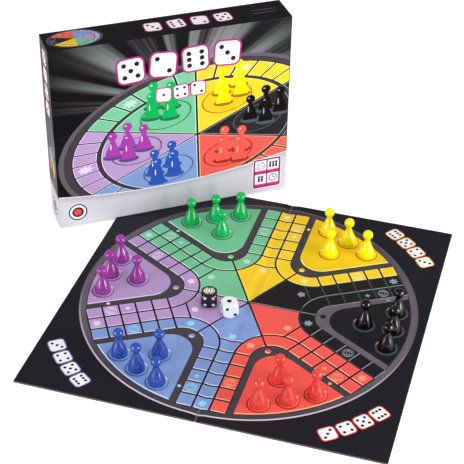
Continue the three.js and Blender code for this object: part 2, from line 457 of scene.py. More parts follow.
# Board: its printed sheet, with the track of each colour, in shares of the board's width
leafLow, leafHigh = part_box("left_face_sheet")[0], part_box("right_face_sheet")[1]
boardWidth = leafHigh.x - leafLow.x
boardMiddle = Vector(((leafHigh.x + leafLow.x) / 2, 0, leafHigh.z))
stripLow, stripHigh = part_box("fold_crease_strip")
planShares = {
    "disc": 0.4557, "ringOuter": 0.478, "ringRim": 0.4733,
    "column": 0.046, "cell": 0.0469, "bandEdge": 0.0876,
    "trackTurnAt": 0.2554, "trackInner": 0.0587, "trackOuter": 0.1047,
    "homeTurnAt": 0.298, "homeTurn": 0.0615,
    "line": 0.0027,
    "spotRing": 0.0318, "spotDisc": 0.0284, "spotField": 0.0258, "spotRight": 0.0007, "spotUp": 0.0018,
    "star": 0.0145, "spark": 0.0086, "globe": 0.0158, "globeLine": 0.0013,
    "rayWidth": 0.0002, "apexAt": 0.2165, "apex": 0.0086,
    "bandMarkAlong": 0.3887, "bandMarkAcross": 0.0785, "bandMark": 0.0062,
    "cornerStarAt": 0.188, "crownAt": 0.155, "crown": 0.0125, "cornerDieAt": 0.5565, "cornerDie": 0.042,
}
plan = scaled(planShares, boardWidth)
# Rims in the same shares, with the way that they face to be lit, and how nearly
cellRims = {"line": 0.0027, "rim": 0.0026, "way": (-0.12, -0.99, 0), "least": 0.7}
blackCellRims = {"line": 0.0004, "rim": 0.0018, "way": (0.5, -0.87, 0), "least": 0.7}
homeRims = {"line": 0.0003, "rim": 0.003, "way": (-0.12, -0.99, 0), "least": 0.45}
# the crease, with the width and place of the pale bars of painted highlight along it
crease = {"halfWidth": 7 * mm, "valley": stripHigh.x + 0.15 * mm - boardMiddle.x,
          "depth": boardMiddle.z - stripHigh.z, "thickness": stripHigh.z - stripLow.z,
          "cuts": [share * mm for share in (0, 0.7, 2.6, 3.8, 5.2)], "paintedHighlightAt": 0.5 * mm, "worn": 0.5 * mm}
# dice faces in each corner: degrees apart, numbers, and the corner's turn and edge colour
cornerDice = {"pitch": 5.35, "counts": (6, 5, 4, 3),
              "corners": ((45, "amber"), (133, "mint"), (225, "lilac"), (315, "coral"))}
# the painted highlight on each ring round a pawn, a short light arc: its way and half length
ringGlint = {"way": math.radians(56), "half": math.radians(17), "blackAndYellowWay": math.radians(156)}
# turn from the kite's middle line, distance and half length in cells
kiteRays = ((math.radians(-15), 1.7, 0.9), (math.radians(-3), 1.6, 1.2), (math.radians(9), 1.8, 1.0))
# each kind of star: its points, and how far out its waist is
starKinds = {"star": (7, 0.55), "spark": (4, 0.55), "bandMark": (4, 0.75), "crown": (5, 0.72),
             "wheelStar": (8, 0.5)}
cornerStarTurn = math.radians(-12.4)
straightCells = 5
# what lies on what
levels = {"ring": 1, "cornerDie": 1, "disc": 2, "worn": 2.5, "cell": 3, "band": 3, "ray": 3.5, "home": 4,
          "sign": 4, "spotShade": 5, "spot": 6, "spotField": 7, "glint": 8}
homeArc = math.radians(60)
arm = homeArc / 2
inks["ring"] = fadedInk("ring_ink", "#433d43", "#675e66", plan["ringOuter"], plan["ringOuter"] / 4, True)
inks["ring rim"] = fadedInk("ring_rim_ink", "#5e585d", "#d4cad4", 0, -plan["ringOuter"] * 0.9)


def onArm(side, along, across):
    a = side * arm
    return (along * math.cos(a) - across * math.sin(a), along * math.sin(a) + across * math.cos(a))


# One colour's territory, drawn with its home to the right and then turned
def printHome(sheet, name, angle):
    sheet["turn"] = Matrix.Rotation(angle, 4, "Z")
    half = plan["column"] / 2
    turnAt = (plan["trackTurnAt"], 0)
    nextTurnAt = onArm(1, *polar(plan["trackTurnAt"], arm))
    isBlack = name == "black"
    rims = blackCellRims if isBlack else cellRims
    cellInks = ("line", f"{name} tint", "black dim" if isBlack else f"{name} gleam", f"{name} field")
    homeTint = f"{name} home" if isBlack else f"{name} tint"
    homeInks = (f"{name} home", homeTint, f"{name} home", f"{name} home")
    sign = f"{name} sign"

    def addCell(shape):
        addLitRims(sheet, shape, rims, levels["cell"], *cellInks)

    def addSign(kind, centre, turn=arm):
        stamp(sheet, starShape(centre, plan[kind], *starKinds[kind], turn), levels["sign"], sign)

    # straight cells: two columns on the home's left arm, one on its right arm
    for side, low in ((1, -3 * half), (1, -half), (-1, half)):
        for i in range(straightCells):
            near = plan["disc"] - i * plan["cell"]
            far = near - plan["cell"]
            high = low + 2 * half
            corners = ((near, low), (far, low), (far, high), (near, high))
            addCell(outlineShape(*[onArm(side, *corner) for corner in corners]))
    # round the bend
    for start in (2 * homeArc, 3 * homeArc):
        addCell(bandShape(turnAt, plan["trackInner"], plan["trackOuter"], start, start + homeArc))
    # the middle column's last cell, and the kite that it leads to
    bendStart = 2 * homeArc
    bendEnd = bendStart + math.asin(plan["cell"] / plan["trackOuter"])
    addCell(outlineShape((turnAt, plan["trackOuter"], bendStart, bendEnd),
                         (nextTurnAt, plan["trackOuter"], homeArc - bendEnd, homeArc - bendStart)))
    addCell(outlineShape((0, 0), (turnAt, plan["trackOuter"], math.pi, bendEnd),
                         (nextTurnAt, plan["trackOuter"], homeArc - bendEnd, homeArc - math.pi)))
    # home field, with the band round it
    backArc = (4 * homeArc, 2 * homeArc)
    bandAngle, edgeAngle = [arm - math.asin(edge / plan["disc"]) for edge in (3 * half, plan["bandEdge"])]
    band = outlineShape((turnAt, plan["trackInner"], *backArc), ((0, 0), plan["disc"], bandAngle, -bandAngle))
    stamp(sheet, band, levels["band"], f"{name} band")
    field = outlineShape(((plan["homeTurnAt"], 0), plan["homeTurn"], *backArc),
                         ((0, 0), plan["disc"], edgeAngle, -edgeAngle))
    addLitRims(sheet, field, homeRims, levels["home"], *homeInks)
    # faint rays in the kite
    for turn, far, reach in kiteRays:
        rayAt = onArm(1, far * plan["cell"], math.tan(turn) * far * plan["cell"])
        ray = starShape(rayAt, reach * plan["cell"], 2, plan["rayWidth"], arm + turn)
        stamp(sheet, ray, levels["ray"], f"{name} gleam")
    # signs
    rowAt = [plan["disc"] - (i + 0.5) * plan["cell"] for i in range(straightCells)]
    addSign("star", onArm(1, rowAt[0], 0))
    addSign("star", polar(plan["cornerStarAt"], cornerStarTurn), 0)
    for globeAt in (onArm(1, rowAt[1], -2 * half), onArm(-1, rowAt[2], 2 * half)):
        printGlobe(sheet, globeAt, plan["globe"], plan["globeLine"], levels["sign"], sign)
    addSign("spark", onArm(1, rowAt[2], -2 * half))
    addSign("bandMark", onArm(1, plan["bandMarkAlong"], -plan["bandMarkAcross"]))
    apex = discShape((plan["apexAt"], 0), plan["apex"])
    addLitRims(sheet, apex, homeRims, levels["home"], *homeInks)
    addSign("crown", onArm(1, plan["crownAt"], 0))


def printSpots(sheet, name):
    sheet["turn"] = Matrix.Identity(4)
    way = ringGlint["blackAndYellowWay" if name in ("black", "yellow") else "way"]
    glint = (way - ringGlint["half"], way + ringGlint["half"])
    for i in range(1, 5):
        low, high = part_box(f"pawn_{name}_{i}")
        centre = ((low + high) / 2 - boardMiddle).xy
        raised = centre + Vector((plan["spotRight"], plan["spotUp"]))
        discs = ((centre, "spotRing", "spotShade", "shade"), (raised, "spotDisc", "spot", "spot"),
                 (centre, "spotField", "spotField", "home"))
        for at, size, level, ink in discs:
            stamp(sheet, discShape(at, plan[size], roundSides["spot"]), levels[level], f"{name} {ink}")
        # painted highlight: a light arc on the ring
        arc = bandShape(centre, plan["spotDisc"], plan["spotRing"], *glint)
        stamp(sheet, arc, levels["glint"], f"{name} tint")


# How far the sheet sinks into the crease at this distance from the fold
def dipped(x):
    share = (crease["halfWidth"] - abs(x)) / (crease["halfWidth"] - crease["valley"])
    share = min(max(share, 0), 1)
    return crease["depth"] * share


def makeBoardSheets():
    sheet = startPrint(inkStep, crease["thickness"])
    stamp(sheet, tileShape((0, 0), boardWidth, boardWidth, 0), 0, "margin")
    ring = discShape((0, 0), plan["ringOuter"], roundSides["ring"])
    stamp(sheet, addRims(ring, plan["ringOuter"] - plan["ringRim"]), levels["ring"], "ring rim", "ring")
    disc = discShape((0, 0), plan["disc"] + plan["line"], roundSides["ring"])
    stamp(sheet, disc, levels["disc"], "charcoal")
    for i, name in enumerate(homes):
        printHome(sheet, name, i * homeArc)
        printSpots(sheet, name)
    sheet["turn"] = Matrix.Identity(4)
    for corner, edgeInk in cornerDice["corners"]:
        for j, count in enumerate(cornerDice["counts"]):
            angle = math.radians(corner + cornerDice["pitch"] * (1.5 - j))
            centre = polar(plan["cornerDieAt"], angle)
            printDieFace(sheet, centre, plan["cornerDie"], angle, count, levels["cornerDie"], edgeInk)
    # painted highlight: pale bars where the crease crosses the margin at both ends, standing in for the light
    # on its slopes
    for x in (-crease["paintedHighlightAt"], crease["paintedHighlightAt"]):
        for y in (-1, 1):
            worn = barShape((x, y * boardWidth / 2), (x, y * plan["disc"]), crease["worn"])
            stamp(sheet, worn, levels["worn"], "worn")
    # cut along the crease, sink it, and part the two leaves from the strip between
    bm = sheet["mesh"]
    for x in (*crease["cuts"], crease["valley"], crease["halfWidth"]):
        for side in (-1, 1):
            cutAlong(bm, (side * x, 0), (1, 0))
    for vert in bm.verts:
        vert.co.z -= dipped(vert.co.x)
    mats = [inks[name] for name in sheet["inks"]]
    edge = crease["valley"]
    parts = {"left_printed_sheet": lambda x: x < -edge, "right_printed_sheet": lambda x: x > edge,
             "crease_sheet": lambda x: abs(x) < edge}
    made = {}
    for name, belongs in parts.items():
        part = bm.copy()
        spare = [face for face in part.faces if not belongs(face.calc_center_median().x)]
        bmesh.ops.delete(part, geom=spare, context="FACES")
        thicken(part)
        made[name] = makeObject(name, part, mats, Matrix.Translation(boardMiddle))
    bm.free()
    for side in ("left", "right"):
        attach(made[f"{side}_printed_sheet"], f"board_{side}")
        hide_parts(f"{side}_face_sheet")
    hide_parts("fold_crease_strip")
    start, end = [boardMiddle + Vector((x, 0, -crease["depth"])) for x in (-edge, edge)]
    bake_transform(made["crease_sheet"], "board_left", "board_right", start=start, end=end)


makeBoardSheets()
print("board sheets printed and creased")

boardPaper = plainFinish("black_cover_paper", "#1e1d20", "cover paper")
pulpBoard = plainFinish("grey_pulp_board", "#6f625b", "pulp board")
for side in ("left", "right"):
    frame["nodes"][f"{side}_board_core"].data.materials[0] = pulpBoard
    frame["nodes"][f"{side}_back_sheet"].data.materials[0] = boardPaper


# Pawns: one turned and hollow shape, moulded in six colours
pawnLow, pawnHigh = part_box("pawn_black_1")
pawnPlan = {"height": pawnHigh.z - pawnLow.z, "skirt": 8.5 * mm, "foot": 7.5 * mm, "footHeight": 1.6 * mm,
            "neck": 2.4 * mm, "neckHeight": 20.6 * mm, "head": 5.3 * mm, "fullness": 1.6, "cavity": 6.2 * mm,
            "cavityHeight": 15 * mm, "gate": 0.6 * mm, "gateDepth": 0.2 * mm, "gateFloorShare": 0.8,
            "glowDepth": 3 * mm, "sides": 56, "footSteps": 4, "skirtSteps": 18, "headSteps": 15,
            "headStart": 0.6, "sharpFrom": 50,
            "cavityShares": ((0, 1), (0.26, 0.97), (0.45, 0.84), (0.71, 0.53), (0.95, 0.1), (1, 0))}


# Polystyrene is clear to some share, and light runs under its surface to some depth
def mouldedPlastic(name, hexCode, plastic, depth):
    mat = plainFinish(name, hexCode, "polystyrene")
    setSurface(mat, {"Transmission Weight": plastic["clear"], "Subsurface Weight": plastic["glow"],
                     "Subsurface Radius": (1, 1, 1), "Subsurface Scale": depth})
    return mat


# Outer curve, from the foot's edge to the top of the head, as radius and height
def pawnOutline():
    p = pawnPlan
    points = []
    for i in range(p["footSteps"] + 1):
        a = i / p["footSteps"] * quarter
        radius = p["foot"] + (p["skirt"] - p["foot"]) * math.sin(a)
        points.append((radius, p["footHeight"] * (1 - math.cos(a))))
    for i in range(1, p["skirtSteps"] + 1):
        t = i / p["skirtSteps"]
        z = p["footHeight"] + t * (p["neckHeight"] - p["footHeight"])
        share = (1 - t ** p["fullness"] + (1 + math.cos(math.pi * t)) / 2) / 2  # full below, hollow above
        points.append((p["neck"] + (p["skirt"] - p["neck"]) * share, z))
    middle = p["height"] - p["head"]
    neckTop = -math.acos(p["neck"] / p["head"])
    for i in range(p["headSteps"]):
        a = neckTop + (i + p["headStart"]) / (p["headSteps"] + p["headStart"]) * (quarter - neckTop)
        points.append(polar(p["head"], a, (0, middle)))
    return points


def makePawnMesh():
    p = pawnPlan
    bm = bmesh.new()
    cavity = [(r * p["cavity"], z * p["cavityHeight"]) for r, z in p["cavityShares"]]
    gateFloor = p["height"] - p["gateDepth"]
    top = [(p["gate"], p["height"]), (p["gate"] * p["gateFloorShare"], gateFloor), (0, gateFloor)]
    profile = cavity + pawnOutline()[:-1] + top
    verts = [bm.verts.new((r, 0, z)) for r, z in profile]
    edges = [bm.edges.new(pair) for pair in zip(verts, verts[1:])]
    bmesh.ops.spin(bm, geom=verts + edges, cent=(0, 0, 0), axis=(0, 0, 1), angle=fullTurn, steps=p["sides"],
                   use_merge=True)
    bmesh.ops.remove_doubles(bm, verts=bm.verts[:], dist=1e-6)
    bmesh.ops.recalc_face_normals(bm, faces=bm.faces[:])
    mesh = bpy.data.meshes.new("turned_pawn")
    bm.to_mesh(mesh)
    bm.free()
    smoothBelow(mesh, p["sharpFrom"])
    return mesh


def makePawns():
    turned = makePawnMesh()
    for name, plastic in pawnColours.items():
        mat = mouldedPlastic(f"{name}_polystyrene", plastic["colour"], plastic, pawnPlan["glowDepth"])
        for i in range(1, 5):
            node = f"pawn_{name}_{i}"
            low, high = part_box(node)
            mesh = turned.copy()
            mesh.materials.append(mat)
            mesh.transform(Matrix.Translation(((low.x + high.x) / 2, (low.y + high.y) / 2, low.z)))
            pawn = addToScene(f"{name}_pawn_{i}", mesh)
            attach(pawn, node)
            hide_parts(node)
    bpy.data.meshes.remove(turned)


makePawns()
print("pawns turned")


# Dice: cubes with ball-cut corners and drilled, painted pips
diePlan = {"width": 16 * mm, "ball": 11.2 * mm, "pipDepth": 0.5 * mm, "singlePip": 1.35, "pipSides": 24,
           "spread": 4.1 * mm, "facets": 40, "sharpFrom": 28, "glowDepth": 1.5 * mm,
           "globe": 6.1 * mm, "globeSides": 40, "globeLine": 0.5 * mm}
dice = {
    "die_black": {"turn": 15.9, "body": "#0d0c10", "paint": "#f4f3f0", "slot": "black_die_plastic",
                  "glow": 0, "clear": 0, "pip": 1.6 * mm,
                  "faces": {"front": 4, "left": 2, "right": 5, "back": 3, "bottom": 6}},
    "die_white": {"turn": 31, "body": "#f3f6f7", "paint": "#121114", "slot": "white_die_plastic",
                  "glow": 0.1, "clear": 0.1, "pip": 1.8 * mm,
                  "faces": {"top": 1, "front": 2, "left": 3, "right": 4, "back": 5, "bottom": 6}},
}
# Each face as the turn that brings a sheet lying on top of the cube to it, upright as seen from outside
faceTurns = {"top": Matrix.Identity(4), "bottom": Matrix.Rotation(2 * quarter, 4, "X")}
for face, quarters in {"front": 0, "right": 1, "back": 2, "left": -1}.items():
    faceTurns[face] = Matrix.Rotation(quarters * quarter, 4, "Z") @ Matrix.Rotation(quarter, 4, "X")


def makeDie(node, look):
    d = diePlan
    bm = bmesh.new()
    bmesh.ops.create_cube(bm, size=d["width"])
    bmesh.ops.subdivide_edges(bm, edges=bm.edges[:], cuts=d["facets"], use_grid_fill=True)
    for vert in bm.verts:
        if vert.co.length > d["ball"]:
            vert.co *= d["ball"] / vert.co.length
    low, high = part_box(node)
    place = Matrix.Translation((low + high) / 2) @ Matrix.Rotation(math.radians(look["turn"]), 4, "Z")
    body = mouldedPlastic(f"{node}_polystyrene", look["body"], look, d["glowDepth"])
    paint = plainFinish(f"{node}_pip_paint", look["paint"], "pip paint")
    die = makeObject(f"{node}_moulded", bm, [body, paint], place)
    # drill the pips with a ball-nosed cutter, a single pip with a wider one
    cutter = bmesh.new()
    for face, count in look["faces"].items():
        pip = look["pip"] * (d["singlePip"] if count == 1 else 1)
        ball = (pip ** 2 + d["pipDepth"] ** 2) / (2 * d["pipDepth"])
        for x, y in pipPlaces[count]:
            at = Vector((x * d["spread"], y * d["spread"], d["width"] / 2 + ball - d["pipDepth"]))
            bmesh.ops.create_uvsphere(cutter, u_segments=d["pipSides"], v_segments=d["pipSides"], radius=ball,
                                      matrix=faceTurns[face] @ Matrix.Translation(at))
    for face in cutter.faces:
        face.material_index = 1
    drill = makeObject(f"{node}_drill", cutter, [body, paint], place)
    cut = die.modifiers.new("Pips", "BOOLEAN")
    setAll(cut, object=drill, operation="DIFFERENCE", solver="EXACT", material_mode="INDEX")
    shaped = bpy.data.meshes.new_from_object(die.evaluated_get(bpy.context.evaluated_depsgraph_get()))
    die.modifiers.remove(cut)
    die.data = shaped
    bpy.data.objects.remove(drill)
    smoothBelow(shaped, d["sharpFrom"])
    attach(die, node)
    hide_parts(node)
    return place, body, paint


def makeDice():
    made = {node: makeDie(node, look) for node, look in dice.items()}
    # the black die has a globe on top in place of a number
    place, body, paint = made["die_black"]
    sheet = startPrint(inkStep)
    stamp(sheet, discShape((0, 0), diePlan["globe"], diePlan["globeSides"]), 1, "white")
    printGlobe(sheet, (0, 0), diePlan["globe"], diePlan["globeLine"], 2, "pip")
    thicken(sheet["mesh"])
    top = Matrix.Translation((0, 0, diePlan["width"] / 2))
    globe = makeObject("die_globe_inlay", sheet["mesh"], [paint, body], place @ top)
    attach(globe, "die_black")


makeDice()
print("dice cut and drilled")


# Box: its own frame has X along the front, Y from front to back and Z up
pull = next(joint for joint in frame["joints"] if joint["name"] == "base_tray_pull")
boxTurn = math.atan2(-pull["axis"][0], pull["axis"][1])


# The place and size of a block that stands turned with the box
def turnedBox(node):
    low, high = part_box(node)
    span = high - low
    c, s = math.cos(boxTurn), math.sin(boxTurn)
    width = (span.x * c - span.y * s) / (c * c - s * s)
    depth = (span.y * c - span.x * s) / (c * c - s * s)
    place = Matrix.Translation((low.x + depth * s, low.y, low.z)) @ Matrix.Rotation(boxTurn, 4, "Z")
    return place, Vector((width, depth, span.z))


boxPlace, boxSize = turnedBox("box_lid")
trayPlace, traySize = turnedBox("box_base_tray")
lidPlan = {"wall": 1.6 * mm, "edge": 0.9 * mm, "trayWall": 1.5 * mm, "trayEdge": 0.5 * mm, "edgeSteps": 3,
           "printEdge": 1.0 * mm}
# The pale band's height, as shares of the box's: a curve along the front, and a slope towards the back.
# Below its edge it fades from one grey to the face's own.
bandPlan = {"bend": 0.2225, "slope": -0.1765, "start": 0.18, "backSlope": 0.02, "blur": 0.0005, "fade": 0.04,
            "edge": "#b7b4bd"}
# Rays are noise over the way out from their centre, flattened on the face: the part of its range that shows
rayPlan = {"black": "#0b0a0d", "pale": "#b9bbbf", "scale": 5.5, "from": 0.42, "to": 0.72, "nearShare": 0.25,
           "flattened": 1000}


def bandHeight(x):
    share = x / boxSize.x
    return boxSize.z * ((bandPlan["bend"] * share + bandPlan["slope"]) * share + bandPlan["start"])


# Black with pale rays round a centre, which is given in the box's frame, over the pale band
def lidPrint(name, faceTurn, centre, rays):
    mat = newMaterial(name)
    place = addNode(mat, "TexCoord", {}).outputs["Object"]
    toBox = {"Location": boxPlace.translation, "Rotation": (0, 0, boxTurn), "Scale": boxSize}
    inBox = addNode(mat, "Mapping", {"Vector": place, **toBox}, vector_type="TEXTURE")
    x, y, z = addNode(mat, "SeparateXYZ", {"Vector": inBox.outputs[0]}).outputs
    soft = {"interpolation_type": "SMOOTHSTEP"}
    # the band, and the shade that it fades to below its edge
    b = bandPlan
    top = b["bend"]
    for factor, rest in ((x, b["slope"]), (x, b["start"])):
        top = addNode(mat, "Math", {0: factor, 1: top, 2: rest}, operation="MULTIPLY_ADD").outputs[0]
    top = addNode(mat, "Math", {0: y, 1: b["backSlope"], 2: top}, operation="MULTIPLY_ADD").outputs[0]
    under = addNode(mat, "Math", {0: top, 1: z}, operation="SUBTRACT").outputs[0]
    isBand = addNode(mat, "MapRange", {"Value": under, "From Min": -b["blur"], "From Max": b["blur"]})
    depth = addNode(mat, "MapRange", {"Value": under, "From Max": b["fade"]}, **soft)
    bandColours = {6: toLinear(b["edge"]), 7: toLinear(rays["band"])}
    band = addNode(mat, "Mix", {0: depth.outputs[0], **bandColours}, data_type="RGBA")
    # the rays
    r = rayPlan
    turn = (boxPlace.to_3x3() @ faceTurn.to_3x3()).to_euler()
    toFace = {"Location": boxPlace @ centre, "Rotation": turn, "Scale": (1, 1, r["flattened"])}
    onFace = addNode(mat, "Mapping", {"Vector": place, **toFace}, vector_type="TEXTURE").outputs[0]
    way = addNode(mat, "VectorMath", {0: onFace}, operation="NORMALIZE")
    streak = addNode(mat, "TexNoise", {"Vector": way.outputs[0], "Scale": r["scale"],
                                       "Detail": noiseDetail["ray"]})
    shown = {"Value": streak.outputs["Fac"], "From Min": r["from"], "From Max": r["to"]}
    beam = addNode(mat, "MapRange", shown, **soft)
    far = addNode(mat, "VectorMath", {0: onFace}, operation="LENGTH")
    fadeEnds = {"From Min": rays["reach"] * r["nearShare"], "From Max": rays["reach"],
                "To Min": rays["light"], "To Max": 0}
    fade = addNode(mat, "MapRange", {"Value": far.outputs["Value"], **fadeEnds}, **soft)
    glow = addNode(mat, "Math", {0: beam.outputs[0], 1: fade.outputs[0]}, operation="MULTIPLY")
    nightColours = {6: toLinear(r["black"]), 7: toLinear(r["pale"])}
    night = addNode(mat, "Mix", {0: glow.outputs[0], **nightColours}, data_type="RGBA")
    colour = addNode(mat, "Mix", {0: isBand.outputs[0], 6: night.outputs[2], 7: band.outputs[2]},
                     data_type="RGBA")
    return finishSurface(mat, colour.outputs[2], looks["gloss film"])


# A box without one side, its wall inwards and its edges eased
def openShell(name, size, openSide, wall, edge, mats, place, faceSlot):
    bm = bmesh.new()
    bmesh.ops.create_cube(bm, size=1)
    bmesh.ops.translate(bm, verts=bm.verts[:], vec=(0.5, 0.5, 0.5))
    bmesh.ops.scale(bm, verts=bm.verts[:], vec=size)
    bm.normal_update()
    bmesh.ops.delete(bm, geom=[face for face in bm.faces if face.normal.y * openSide > 0.5], context="FACES")
    for face in bm.faces:
        face.material_index = faceSlot(face.normal)
    shell = makeObject(name, bm, mats, place)
    setAll(shell.modifiers.new("Walls", "SOLIDIFY"), thickness=wall, offset=-1, use_even_offset=True,
           material_offset=len(mats), material_offset_rim=len(mats))
    setAll(shell.modifiers.new("Eased edges", "BEVEL"), width=edge, segments=lidPlan["edgeSteps"],
           limit_method="ANGLE", harden_normals=False)
    return shell


figurePlan = {"height": 31 * mm, "shade": 1.35, "shadeFlat": 0.34, "level": 4, "levelStep": 0.22,
              # gleams: across, up, half width and half height
              "gleamShares": ((-0.06, 0.87, 0.04, 0.028), (-0.075, 0.42, 0.022, 0.13))}


# A pawn as a flat figure, with its shadow and gleams
def printFigure(sheet, foot, name, level):
    height = figurePlan["height"]
    scale = height / pawnPlan["height"]
    rightSide = [(foot[0] + r * scale, foot[1] + z * scale) for r, z in pawnOutline()[:-1]]
    leftSide = [(2 * foot[0] - x, y) for x, y in reversed(rightSide)]
    shade = discShape(foot, pawnPlan["skirt"] * scale * figurePlan["shade"])
    stamp(sheet, squeezed(shade, foot, 1, figurePlan["shadeFlat"]), level, f"{name} shade")
    stamp(sheet, outlineShape(*rightSide, *leftSide), level + figurePlan["levelStep"], f"{name} figure")
    for across, up, wide, tall in figurePlan["gleamShares"]:
        centre = (foot[0] + height * across, foot[1] + height * up)
        gleam = squeezed(discShape(centre, height * tall, roundSides["small"]), centre, wide / tall, 1)
        stamp(sheet, gleam, level + 2 * figurePlan["levelStep"], f"{name} tint")


wheelShares = {"disc": 1.08, "rim": 1.04, "pathOuter": 0.98, "pathInner": 0.78, "wedge": 0.76,
               "homeAt": 0.48, "home": 0.2, "homeRim": 0.011, "star": 0.072, "line": 0.008, "tint": 0.006}


# A round track in six colours
def printWheel(sheet, radius, level, turn=0):
    w = scaled(wheelShares, radius)
    outer = sheet["turn"].copy()
    disc = addRims(discShape((0, 0), w["disc"], roundSides["wheel"]), w["disc"] - w["rim"])
    stamp(sheet, disc, level, "ring rim", "charcoal")
    starAt = polar((w["pathInner"] + w["pathOuter"]) / 2, arm / 6)
    for i, name in enumerate(homes):
        sheet["turn"] = outer @ Matrix.Rotation(turn + i * homeArc, 4, "Z")
        fieldInks = ("line", f"{name} tint", f"{name} field")
        wedge = outlineShape((0, 0), ((0, 0), w["wedge"], -arm, arm))
        stamp(sheet, addRims(wedge, w["line"], w["tint"]), level + 1, *fieldInks)
        for j in range(6):
            start = -arm + j * homeArc / 6
            cell = bandShape((0, 0), w["pathInner"], w["pathOuter"], start, start + homeArc / 6)
            stamp(sheet, addRims(cell, w["line"], w["tint"]), level + 1, *fieldInks)
        home = addRims(discShape((w["homeAt"], 0), w["home"]), w["homeRim"])
        stamp(sheet, home, level + 2, f"{name} shade", f"{name} home")
        stamp(sheet, starShape(starAt, w["star"], *starKinds["wheelStar"]), level + 2, f"{name} sign")
    sheet["turn"] = outer


# Crops a printed sheet to its face, gives it thickness and lays it on the box
def layOnBox(sheet, face, corner, size):
    bm = sheet["mesh"]
    edge = lidPlan["printEdge"]
    sides = (((edge, 0), (-1, 0)), ((size.x - edge, 0), (1, 0)),
             ((0, edge), (0, -1)), ((0, size.y - edge), (0, 1)))
    for at, out in sides:
        cutAlong(bm, at, out, clear_outer=True)
    thicken(bm)
    mats = [inks[name] for name in sheet["inks"]]
    place = boxPlace @ Matrix.Translation(corner) @ faceTurns[face]
    piece = makeObject(f"lid_{face}_artwork", bm, mats, place)
    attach(piece, "box_lid")


# A row of dice faces
def printRow(sheet, size, row, level):
    middle = (len(row["counts"]) - 1) / 2
    turn = Matrix.Rotation(math.radians(row["turn"]), 2)
    for i, (count, tilt) in enumerate(zip(row["counts"], row["tilts"])):
        centre = size * Vector(row["at"]) + turn @ Vector((row["pitch"], row["climb"])) * (i - middle)
        printDieFace(sheet, centre, row["width"], math.radians(row["turn"] + tilt), count, level, "magenta")


# A plain round target, with its rings as shares of its radius
roundel = {"radius": 10.4 * mm, "ring": (0.62, 0.86), "middle": 0.42}


def printRoundel(sheet, centre, level):
    radius = roundel["radius"]
    stamp(sheet, discShape(centre, radius, roundSides["spot"]), level, "pip")
    stamp(sheet, bandShape(centre, *[share * radius for share in roundel["ring"]]), level + 1, "white")
    stamp(sheet, discShape(centre, radius * roundel["middle"]), level + 1, "coral")


panelPlan = {
    "across": 0.912, "up": 0.113, "width": 32 * mm, "height": 38 * mm, "corner": 2.2 * mm, "border": 0.7 * mm,
    "tile": 13.4 * mm, "tall": 16.4 * mm, "tileCorner": 1 * mm, "pitch": (7.4 * mm, 8.9 * mm),
    "foot": 3.2 * mm, "signUp": 1.6 * mm, "die": 8 * mm, "dieTurn": math.radians(12),
    "clock": 5 * mm, "clockLine": 1 * mm, "hands": ((0, 3.4 * mm), (2.4 * mm, 0)),
    "head": 1.5 * mm, "headUp": 2.6 * mm, "body": (2.6 * mm, 5 * mm, 1.2 * mm), "bodyDown": 1.4 * mm,
    "apart": 3.6 * mm}


# Four tiles with plain signs: players by two and by three, a die and a clock
def printPanel(sheet, level):
    p = panelPlan
    middle = (p["across"] * boxSize.x, p["up"] * boxSize.z)
    border = 2 * p["border"]
    outer = tileShape(middle, p["width"] + border, p["height"] + border, p["corner"] + p["border"])
    stamp(sheet, outer, level, "white")
    stamp(sheet, tileShape(middle, p["width"], p["height"], p["corner"]), level + 1, "plum")
    for column, row in ((-1, 1), (1, 1), (-1, -1), (1, -1)):
        centre = Vector((middle[0] + column * p["pitch"][0], middle[1] + row * p["pitch"][1]))
        foot = centre - Vector((0, (p["tall"] - p["foot"]) / 2))
        sign = centre + Vector((0, p["signUp"]))
        stamp(sheet, tileShape(centre, p["tile"], p["tall"], p["tileCorner"]), level + 2, "white")
        stamp(sheet, tileShape(foot, p["tile"], p["foot"], 0), level + 3, "pink")
        if (column, row) == (-1, 1):
            printDieFace(sheet, sign, p["die"], p["dieTurn"], 5, level + 3, "dark plum")
        elif (column, row) == (1, -1):
            stamp(sheet, bandShape(sign, p["clock"] - p["clockLine"], p["clock"]), level + 3, "dark plum")
            for i, end in enumerate(p["hands"]):
                hand = barShape(sign, sign + Vector(end), p["clockLine"])
                stamp(sheet, hand, level + 3 + i / 4, "dark plum")
        else:
            players = 3 if row > 0 else 2
            for i in range(players):
                at = sign + Vector((p["apart"] * (i - (players - 1) / 2), 0))
                head = discShape(at + Vector((0, p["headUp"])), p["head"], roundSides["small"])
                stamp(sheet, head, level + 3, "dark plum")
                body = tileShape(at - Vector((0, p["bodyDown"])), *p["body"])
                stamp(sheet, body, level + 3.25, "dark plum")


frontPlan = {
    # the band here is printed a little darker than on the narrow faces: painted shade against the stronger
    # light on the front
    "rays": {"at": (0.54, 0.62), "reach": 0.66 * boxSize.x, "light": 0.65, "band": "#cdcbd3"},
    "wheelAt": (0.60, 0.42), "wheel": 0.54, "wheelTurn": math.radians(10), "flat": (0.16, 0.02, 0.60),
    "stands": ((0.42, 0), (0.55, 0.16), (0.55, -0.16), (0.66, 0)), "bandEdge": 0.9 * mm, "bandSteps": 24,
    "rows": (
        {"at": (0.525, 0.845), "width": 27 * mm, "pitch": 35 * mm, "climb": 1.5 * mm, "turn": 0,
         "counts": (5, 2, 6, 3), "tilts": (4, -5, 3, -4)},
        {"at": (0.53, 0.68), "width": 15.5 * mm, "pitch": 19 * mm, "climb": 1 * mm, "turn": 0,
         "counts": (1, 4, 2), "tilts": (-3, 4, -2)}),
    "roundelAt": (0.095 * boxSize.z, 0.078 * boxSize.z)}
